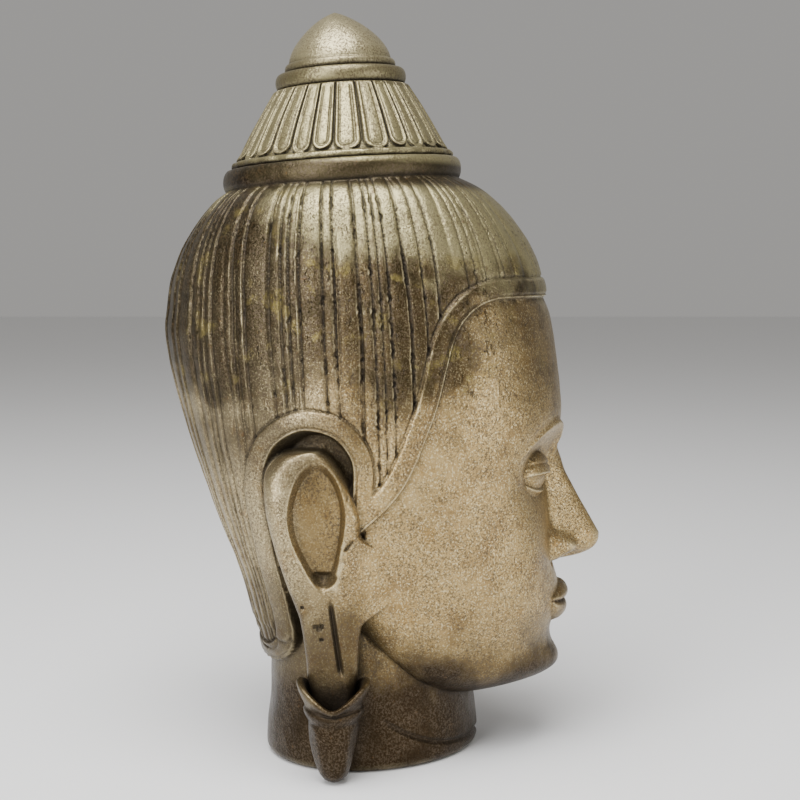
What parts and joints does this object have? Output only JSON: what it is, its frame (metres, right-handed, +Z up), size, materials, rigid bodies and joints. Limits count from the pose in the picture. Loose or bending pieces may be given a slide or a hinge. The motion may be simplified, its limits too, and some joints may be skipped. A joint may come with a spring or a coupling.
{
  "type": "buddha bust",
  "caption": "Hollow-cast metal Buddha head with combed hair, tiered chignon cover, long ears and bud earrings; stands on its flat neck.",
  "frame": {"origin": "centre of the neck's flat underside", "axes": "+Z up through the head, -Y towards the face, +X towards the head's own left ear"},
  "size_m": [0.1142, 0.1484, 0.25],
  "materials": {
    "bronze": "aged cast bronze, brown-grey patina rubbed bright on the high spots"
  },
  "bodies": {
    "root": {"buddha_head": "bronze"}
  },
  "joints": []
}
